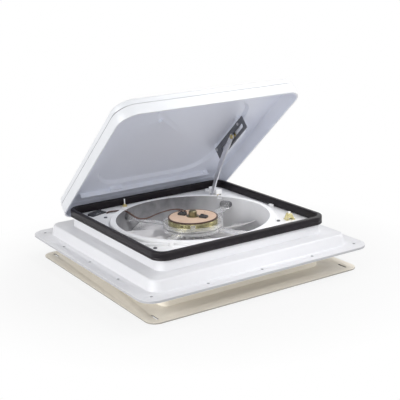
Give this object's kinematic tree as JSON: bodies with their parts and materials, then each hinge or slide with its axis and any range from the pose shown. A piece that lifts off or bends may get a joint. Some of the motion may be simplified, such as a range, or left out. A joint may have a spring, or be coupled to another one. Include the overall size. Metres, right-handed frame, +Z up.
{
  "type": "caravan roof vent",
  "caption": "Square roof vent with a lifting domed lid on a worm-driven arm, a rubber-sealed throat, and a motor fan in a round duct over an inner garnish.",
  "frame": {"origin": "centre of the roof flange's screw pattern, on the flange's underside", "axes": "+Z up out of the roof, +Y towards the lid's hinge, +X towards the lift arm"},
  "size_m": [0.488, 0.488, 0.3538],
  "materials": {
    "white_shell": "satin white moulding",
    "lid_white": "smooth white moulding",
    "shroud_white": "matt white moulding",
    "seal_rubber": "satin black rubber",
    "steel": "bright zinc steel",
    "dark_steel": "dark grey steel",
    "brass": "plain brass",
    "zinc_can": "yellow zinc plate",
    "tan_board": "tan board",
    "brown": "dark brown sleeve",
    "black_plastic": "matt black moulding",
    "clear_plastic": "clear moulding",
    "amber": "amber moulding",
    "yellow_foot": "yellow moulding",
    "knob_white": "matt white moulding",
    "net_wire": "fine net",
    "beige": "beige moulding"
  },
  "bodies": {
    "base": {"base_frame": "white_shell", "dome_seal": "seal_rubber", "fan_shroud": "shroud_white", "deck_screws": "dark_steel", "deck_bracket": "dark_steel", "deck_clips": "white_shell", "rain_sensor": "amber", "sensor_tip": "white_shell", "switch_foot": "yellow_foot", "hinge_pins": "steel", "lift_cover": "white_shell", "crank_bearing": "shroud_white", "motor_mount": "clear_plastic", "mount_blocks": "seal_rubber", "motor_can": "zinc_can", "brush_plate": "tan_board", "bearing_cap": "brass", "brush_terminals": "brown", "brush_spring": "black_plastic", "motor_leads": "brown", "inner_panel": "shroud_white", "speed_switch": "black_plastic", "screen_frame": "shroud_white", "screen_net": "net_wire", "garnish": "beige"},
    "lid": {"lid_shell": "lid_white", "slot_plate": "dark_steel", "plate_screws": "steel"},
    "arm": {"lift_arm": "steel", "slider_pin": "brass", "arm_shaft": "steel", "lift_gear": "brass"},
    "crank": {"crank_shaft": "steel", "crank_knob": "knob_white"},
    "fan": {"fan_rotor": "clear_plastic", "fan_shaft": "steel", "fan_nut": "steel"},
    "switch_pin": {"switch_pin": "white_shell"},
    "speed_knob": {"speed_knob": "knob_white"}
  },
  "joints": [
    {"name": "lid_hinge", "type": "hinge", "parent": "base", "child": "lid", "pos_m": [0, 0.2013, 0.0335], "axis": [-1, 0, 0], "range_deg": [-40.2, 8]},
    {"name": "arm_pivot", "type": "hinge", "parent": "base", "child": "arm", "pos_m": [0.122, 0.11702, 0.047], "axis": [-1, 0, 0], "range_deg": [-61, 12.3]},
    {"name": "crank_turn", "type": "hinge", "parent": "base", "child": "crank", "pos_m": [0.131, 0.13122, 0], "axis": [0, 0, 1], "range_deg": [-852, 171]},
    {"name": "fan_spin", "type": "hinge", "parent": "base", "child": "fan", "pos_m": [0, 0, 0.02], "axis": [0, 0, 1], "continuous": true},
    {"name": "switch_press", "type": "slide", "parent": "base", "child": "switch_pin", "axis": [0, 0, -1], "range_m": [0, 0.003], "stiffness_N_per_m": 60, "springref_m": -0.001},
    {"name": "speed_turn", "type": "hinge", "parent": "base", "child": "speed_knob", "pos_m": [-0.131, 0.13122, -0.035], "axis": [0, 0, 1], "range_deg": [0, 270]}
  ],
  "couplings": [
    {"joint": "arm_pivot", "follows": "lid_hinge", "ratio": 1.511},
    {"joint": "crank_turn", "follows": "lid_hinge", "ratio": 21.154}
  ]
}
